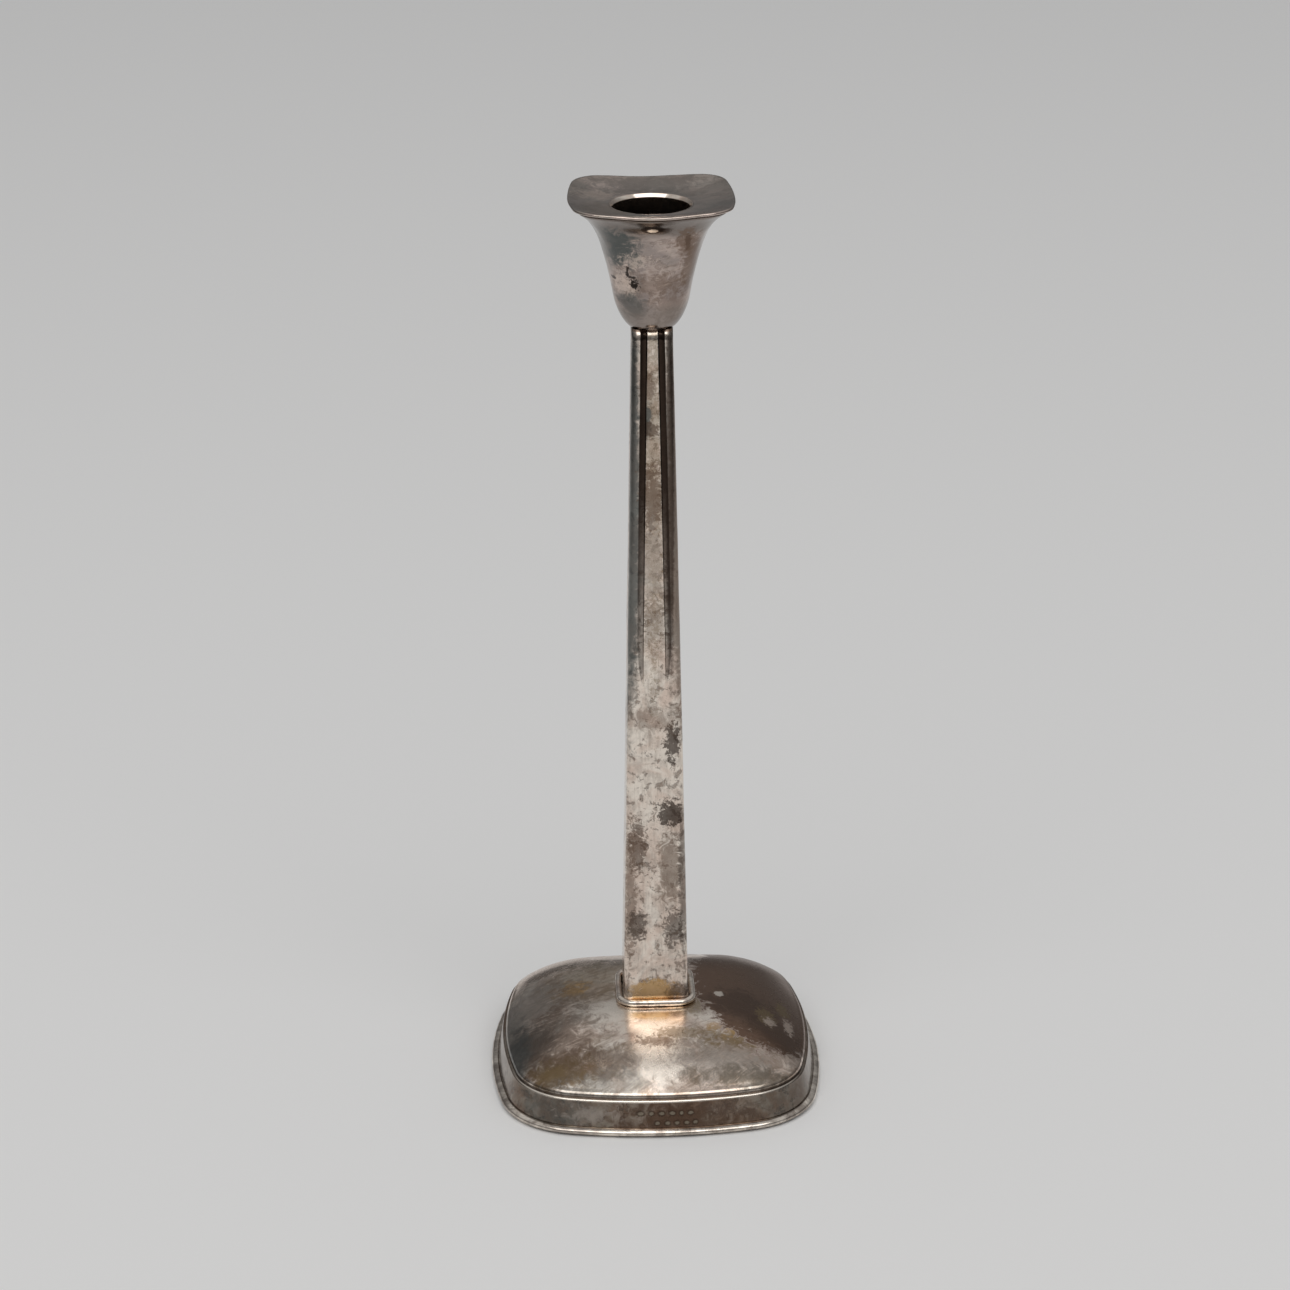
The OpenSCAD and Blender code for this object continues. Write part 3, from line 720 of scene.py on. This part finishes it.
DOME_WIPES = (
    (0.65, (15, -38, 16), (15, 8, 6), -38, "XY"),
    (0.4, (30, -33, 18), (10, 7, 6), 24, "XY"),
    (1.0, (-38, 4, 18), (10, 7, 9), -4, "XY"),
    (1.0, (-36, -9, 18), (11, 5, 9), 8, "XY"),
    (0.5, (-28, -22, 20), (10, 9, 6), -18, "XY"),
    (0.85, (-24, 30, 19), (18, 8, 6), -12, "XY"),
)
BELL_STAINS_AND_SHADING = (
    # painted shade: a grey band round the top of the flare, under the pan's overhang
    (GREY, 0.75, (0, 0, 275.5), (60, 60, 4), 0.4, 0.12, 5),
    # painted reflection: teal on the bell's front left, where it mirrors the dim left side of the
    # room
    (TEAL, 0.92, (-10.5, -11.5, 268), (6.8, 9, 7), 0.3, 0.5, 4),
    (PINK, 0.5, (-5, -11, 263.5), (4, 5, 2.2), 0.4, 1.1, 1.5),
    (PINK, 0.55, (-8.5, -10, 255.5), (3, 5, 3.2), 0.4, 1.3, 1.2),
    # more painted reflection of the dim left side, higher up
    (TEAL, 0.6, (-12, -8, 274), (7, 9, 3), 0.5, 0.5, 4),
    (UMBER, 0.75, (9.5, -14, 270), (3.2, 5, 5), 0.3, 0.9, 2.4),
    (BROWN, 0.7, (9.8, -13.5, 270.5), (1.1, 3, 4), 0.2, 0.6, 2),
    (UMBER, 0.7, (11, -9, 262), (3, 5, 8), 0.3, 0.6, 3),
    (TEAL, 0.7, (-6.5, -9, 249.6), (5, 5, 3.5), 0.4, 0.5, 4),
    (UMBER, 0.45, (5, -10, 249), (5, 5, 4.5), 0.4, 0.9, 2.4),
    (UMBER, 0.5, (2, -12, 256), (7, 5, 3), 0.4, 0.8, 2.5),
    (GREY, 0.6, (0, 0, 245), (60, 60, 4), 0.5, 0.2, 4),
    # painted reflection under the front of the rim: a dark eye with a painted glint in it, the
    # foot and its highlight as the flare mirrors them
    (DARK, 0.95, (-0.4, -18.6, 274.4), (3.4, 4, 1.5), 0.12, 0.08, 3),
    (CLEAN_AND_GLINT, 1.0, (-0.3, -18.6, 273.9), (1.5, 4, 0.6), 0.25, 0.1, 3),
    (GREY, 0.8, (-17, -2, 268), (5, 14, 13), 0.4, 0.4, 4),
    (UMBER, 0.5, (16, -2, 262), (5, 14, 10), 0.4, 0.4, 4),
)
BELL_WIPES = (
    (0.5, (-4, -13, 268), (5, 5, 5), 8, "XZ"),
    (0.45, (-8, -11, 258), (4, 5, 5), -35, "XZ"),
    (0.4, (3, -13, 262), (8, 5, 8), 14, "XZ"),
)
BELL_MARKS = (
    (BLACK, 0.95, (-5.4, -11.5, 256), (1.2, 3, 1.6), 0.1, 1.3, 1.0),
    (BLACK, 0.9, (-7.4, -11.4, 260.4), (0.4, 2, 2.0), 0.1, 1.2, 0.9),
    (BLACK, 0.85, (-6.2, -11.4, 258.3), (1.4, 2, 0.35), 0.1, 1.0, 0.8),
    (DARK, 0.9, (-11.2, -6, 257), (0.9, 2, 0.5), 0.2, 0.6, 1),
)
STEM_STAINS_AND_SHADING = (
    # the strip, and the corners beside the flutes
    (OLIVE, 0.45, (0, -7, 195), (2.4, 3, 60), 0.4, 1.1, 1.3),
    # painted reflection of the dim room on the corners beside the flutes: teal on the left,
    # brown-grey on the right, and a dark streak down the right flute
    (TEAL, 0.85, (-7.5, -7, 194), (3.5, 5, 72), 0.25, 0.25, 4),
    (linear(124, 109, 98), 0.8, (7.6, -7, 194), (3.4, 5, 72), 0.25, 0.25, 4),
    (DARK, 0.8, (4.9, -7, 197), (1.2, 4, 66), 0.3, 0.25, 3),
    (TEAL, 0.8, (-2.1, -6.4, 214), (1.6, 1.4, 6), 0.3, 0.6, 3),
    (BROWN, 0.7, (-1, -6.5, 210.5), (2.5, 1.4, 2.4), 0.2, 0.7, 1.6),
    (UMBER, 0.6, (-1.5, -6.3, 224), (2.4, 1.4, 4), 0.3, 0.8, 1.4),
    (UMBER, 0.75, (-0.5, -7, 189), (3.2, 1.8, 10), 0.2, 0.9, 1.8),
    (HAZE, 0.45, (-1, -7.3, 170), (3.4, 1.8, 13), 0.3, 1.0, 2.2),
    (UMBER, 0.4, (0.5, -7.6, 150), (3.4, 1.8, 8), 0.3, 1.0, 2.2),
    # the plain faces below the flutes
    (DARK, 0.8, (5.2, -8.6, 112), (2.2, 2, 6), 0.15, 0.9, 2),
    (DARK, 0.85, (4.6, -8.8, 89), (3.4, 2, 4.2), 0.12, 0.8, 2.2),
    (BROWN, 0.7, (-5.6, -9.1, 78.5), (2.8, 2.2, 8), 0.15, 1.1, 1.6),
    (UMBER, 0.65, (4.5, -9.2, 70), (3.6, 2.2, 11), 0.3, 0.8, 2.4),
    (UMBER, 0.6, (-8, -9.2, 62), (2, 2.5, 20), 0.3, 1.0, 2.0),
    (DARK, 0.7, (-5.8, -9.6, 51.5), (3, 2, 5), 0.2, 0.8, 1.6),
    (DARK, 0.65, (5.5, -9.6, 50), (3, 2, 6), 0.2, 0.9, 1.6),
    (DARK, 0.6, (8.6, -9.2, 66), (1.6, 2.5, 26), 0.3, 0.7, 2.4),
    (GOLD, 0.8, (-0.5, -10, 28.5), (8, 3, 4), 0.3, 0.5, 3),
    (BROWN, 0.6, (6.5, -10, 28), (3.5, 3, 3.5), 0.3, 0.6, 2),
    # bands all round: one of tarnish at mid height, and painted shade along the stem's top edge
    # under the bell
    (UMBER, 0.5, (0, 0, 120), (14, 14, 5), 0.4, 0.9, 4),
    (UMBER, 0.8, (0, 0, 241.3), (60, 60, 1.1), 0.2, 0.05, 3),
)
BAND_STAINS = (
    (TEAL, 0.6, (-40, -48, 7), (16, 12, 8), 0.6, 0.5, 5),
    (TEAL, 0.4, (44, -44, 7), (14, 16, 8), 0.6, 0.6, 4),
    (GREY, 0.6, (20, -50, 8), (9, 4, 3), 0.4, 0.7, 4),
    (BROWN, 0.75, (10, -50, 6), (22, 5, 6), 0.5, 0.8, 4),
    (HAZE, 0.5, (-24, -49, 7), (9, 4, 2.5), 0.5, 1.0, 3),
    (CLEAN_AND_GLINT, 0.95, (-6, -52, 11.0), (50, 26, 0.6), 0.3, 0.03, 6),
)
PUNCH_ROWS = (
    # height, then each punch's x and half width
    (7.2, ((-6.6, 1.5), (-3.3, 1.1), (-0.2, 1.3), (3, 1.4), (5.8, 0.9), (8.6, 1.4))),
    (4.2, ((-1.5, 1.1), (1.6, 1.1), (4.4, 1.1), (7.4, 1.1), (10, 1.1))),
)


def punched(x, z, half):
    """A blank punch mark on the front of the foot: a dark ring round a paler middle."""
    paler, face_y, reach = linear(150, 140, 124), -49, 3
    return [(DARK, 0.6, (x, face_y, z), (half, reach, 0.95), 0.2, 0.3, 0.9),
            (paler, 0.7, (x + 0.1, face_y, z - 0.1), (half * 0.6, reach, 0.5), 0.3, 0.3, 0.9)]


BAND_MARKS = [mark for z, row in PUNCH_ROWS for x, half in row for mark in punched(x, z, half)]
PAN_STAINS = (
    (GREY, 0.75, (0, 19, 278), (17, 6, 4), 0.5, 0.7, 4),
    (OLIVE, 0.4, (-14, -8, 277), (8, 8, 3), 0.5, 0.8, 4),
    (PINK, 0.5, (-14, 8, 278), (8, 4, 3), 0.5, 1.0, 3),
)
TUBE_PAINTED_SHADE = (
    # painted shade inside the candle tube, down to its floor; the outside stays clean
    (DARK, 0.9, (0, 0, 255), (11.6, 11.6, 85), 0.01, 0.002, 3),
)


def flute_tarnish_and_shade(s, colour):
    """Darkens the flutes by their depth under the stem's faces, for tarnish that polishing never
    reaches and for painted shade.
    """
    split = s.node("ShaderNodeSeparateXYZ")
    s.feed(split.inputs[0], s.mm)
    x, y, z = split.outputs
    x, y = s.math("ABSOLUTE", x), s.math("ABSOLUTE", y)
    across, along = s.math("MAXIMUM", x, y), s.math("MINIMUM", x, y)
    taper = (STEM_HALF_BOTTOM - STEM_HALF_TOP) / (STEM_TOP - FOOT_H)
    narrowed = s.math("MULTIPLY", s.math("SUBTRACT", z, FOOT_H), taper)
    face = s.math("SUBTRACT", STEM_HALF_BOTTOM, narrowed)
    depth = s.math("SUBTRACT", face, across)
    to_corner = s.math("SUBTRACT", s.math("SUBTRACT", face, STEM_CORNER_R), along)
    mask = s.math("MULTIPLY", s.step(depth, 0.02, 0.16), s.step(to_corner, -0.05, 0.15))
    mask = s.math("MULTIPLY", mask, s.step(z, FLUTE_END, FLUTE_END + 6))
    least, full_after = 0.55, 70
    fading = s.step(z, FLUTE_END, FLUTE_END + full_after)
    mask = s.math("MULTIPLY", mask, s.math("MULTIPLY_ADD", fading, 1 - least, least))
    rubbed = s.noise(3, detail=5, rough=0.7, distort=0.4, shift=8)
    dirt_and_shade = s.mix(s.step(rubbed, 0.4, 0.8), linear(54, 44, 38), DARK)
    return s.mix(mask, colour, dirt_and_shade)


# ---- pieces in place ----

SILVER_PIECES = (
    (border_wire, "foot_border_wire", "candlestick",
     dict(name="silver_border", veil=0.4, haze=0.3, blots=0.5, base=(CLEAN_AND_GLINT, HAZE), grain=0.7)),
    (sloping_band, "foot_band", "candlestick",
     dict(name="silver_band", stains_and_shading=BAND_STAINS, marks=BAND_MARKS, veil=0.65, haze=0.35,
          blots=0.9, base=(linear(140, 130, 118), UMBER), grain=0.8, brush=(0, "XY"))),
    (domed_top, "foot_dome", "candlestick",
     dict(name="silver_dome", stains_and_shading=DOME_STAINS_AND_SHADING, wipes=DOME_WIPES, veil=0.6,
          veil_shade=linear(128, 102, 74), haze=0.25, blots=0.3, grain=1.1, brush=(-28, "XY"))),
    (collar_wire, "stem_collar", "candlestick",
     dict(name="silver_collar", veil=0.5, haze=0.3, blots=0.3, grain=0.5)),
    (stem, "stem_tube", "candlestick",
     dict(name="silver_stem", stains_and_shading=STEM_STAINS_AND_SHADING, over=flute_tarnish_and_shade, veil=0.35, haze=0.4, blots=0.75,
          pits=0.9, grain=0.7, polish=0.1, brush=(90, "XZ"))),
    (bell, "cup_bell", "candlestick",
     dict(name="silver_bell", stains_and_shading=BELL_STAINS_AND_SHADING, wipes=BELL_WIPES, marks=BELL_MARKS, veil=0.5,
          haze=0.3, blots=0.4, base=(MAUVE, linear(160, 148, 143)), grain=0.8, polish=0.02,
          smear=0.05, brush=(8, "XZ"))),
    (pan, "drip_pan", "nozzle",
     dict(name="silver_pan", stains_and_shading=PAN_STAINS, veil=0.3, haze=0.4, blots=0.25,
          base=(MAUVE, HAZE), grain=0.9, brush=(15, "XY"))),
    (tube, "candle_tube", "nozzle",
     dict(name="silver_tube", stains_and_shading=TUBE_PAINTED_SHADE, veil=0.15, haze=0.1, blots=0.1, grain=0.5)),
)
for build, node, body, look in SILVER_PIECES:
    finish_piece(build(), node, body, silver(**look))


def dress(nodes, material):
    """Gives CAD nodes that stay as they are a better material."""
    for name in nodes:
        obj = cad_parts[name]
        obj.data.materials.clear()
        obj.data.materials.append(material)


dress(["base_felt"],
      dull("green_felt", (linear(34, 58, 44), linear(42, 70, 52), linear(64, 90, 70)),
           0.5, 0.9, bump_depth=0.0003, sheen=0.5))
dress(["foot_filling", "stem_filling"],
      dull("loading_cement", (linear(70, 60, 52), linear(92, 80, 68), linear(48, 40, 35)),
           1.2, 0.8))
dress(["base_plate", "stem_top_plate", "tie_rod", "rod_washer_lower", "rod_nut_lower",
       "cup_washer", "rod_nut_upper"],
      dull("worked_steel", (linear(150, 152, 155), linear(120, 122, 126), linear(92, 84, 76)),
           0.6, 0.42, metallic=1.0, bump_depth=0.00003))
dress(["candle_tube_floor"],
      dull("sooty_silver", (linear(60, 55, 50), linear(40, 36, 33), linear(24, 21, 20)),
           0.8, 0.5, metallic=0.8, bump_depth=0.00005))


# ---- studio ----

def plain(name, colour, roughness):
    s = Shader(name)
    s.bsdf.inputs["Base Color"].default_value = colour
    s.bsdf.inputs["Roughness"].default_value = roughness
    s.bsdf.inputs["Specular IOR Level"].default_value = 0.1
    return s.material


def floor(left=-0.6, right=0.6, front=-1.6, back=2.1):
    """A sheet of pale paper under the object; edges in metres."""
    mesh = bpy.data.meshes.new("studio_floor")
    corners = [(left, front, 0), (right, front, 0), (right, back, 0), (left, back, 0)]
    mesh.from_pydata(corners, [], [(0, 1, 2, 3)])
    obj = bpy.data.objects.new("studio_floor", mesh)
    bpy.context.scene.collection.objects.link(obj)
    mesh.materials.append(plain("pale_paper", linear(236, 236, 236), 0.9))


def softbox(name, place, width, height, radiance):
    """A rectangular area light aimed at the lower stem; sizes in metres.

    Blender's area lights have a radiance of their power over four times their area.
    """
    target, warm_white = (0, 0, 0.1), (1, 0.99, 0.975)
    light = bpy.data.lights.new(name, "AREA")
    light.shape = "RECTANGLE"
    light.size, light.size_y = width, height
    light.energy = radiance * 4 * width * height
    light.color = warm_white
    obj = bpy.data.objects.new(name, light)
    obj.location = place
    obj.rotation_euler = (Vector(target) - Vector(place)).to_track_quat("-Z", "Y").to_euler()
    bpy.context.scene.collection.objects.link(obj)


def surroundings():
    """A dim room with a broad pale ceiling that starts 30 to 35 degrees above the horizon."""
    world = bpy.data.worlds.new("studio")
    world.use_nodes = True
    tree = world.node_tree
    place = tree.nodes.new("ShaderNodeTexCoord")
    split = tree.nodes.new("ShaderNodeSeparateXYZ")
    ramp = tree.nodes.new("ShaderNodeValToRGB")
    tree.links.new(place.outputs["Generated"], split.inputs[0])
    tree.links.new(split.outputs[2], ramp.inputs[0])
    tree.links.new(ramp.outputs[0], tree.nodes["Background"].inputs[0])
    # the sine of the height above the horizon, and the brightness there
    stops = ((0.0, 0.11), (0.2, 0.18), (0.5, 0.29), (0.57, 0.46), (1.0, 0.49))
    while len(ramp.color_ramp.elements) < len(stops):
        ramp.color_ramp.elements.new(0.5)
    for stop, (height, value) in zip(ramp.color_ramp.elements, stops):
        stop.position = height
        stop.color = (value, value, value, 1)
    bpy.context.scene.world = world


def camera():
    """The camera of the picture: a little left of the middle, looking down at the front."""
    yaw, pitch, roll = (math.radians(angle) for angle in (-2.2, 21.5, -0.33))
    place = (-0.0025, -1.04, 0.55)
    data = bpy.data.cameras.new("camera")
    data.sensor_width = 36.0
    data.lens = 103.5
    obj = bpy.data.objects.new("camera", data)
    turn = Matrix.Rotation(yaw, 4, "Z")
    obj.matrix_world = (turn @ Matrix.Translation(place)
                        @ Matrix.Rotation(math.radians(90) - pitch, 4, "X")
                        @ Matrix.Rotation(roll, 4, "Z"))
    bpy.context.scene.collection.objects.link(obj)
    bpy.context.scene.camera = obj


floor()
softbox("key", (0.0, -1.9, 2.9), width=4.6, height=2.4, radiance=1.28)
softbox("overhead", (0.0, -0.35, 3.2), width=0.22, height=1.2, radiance=1.7)
surroundings()
bpy.context.scene.view_settings.view_transform = "Standard"
camera()
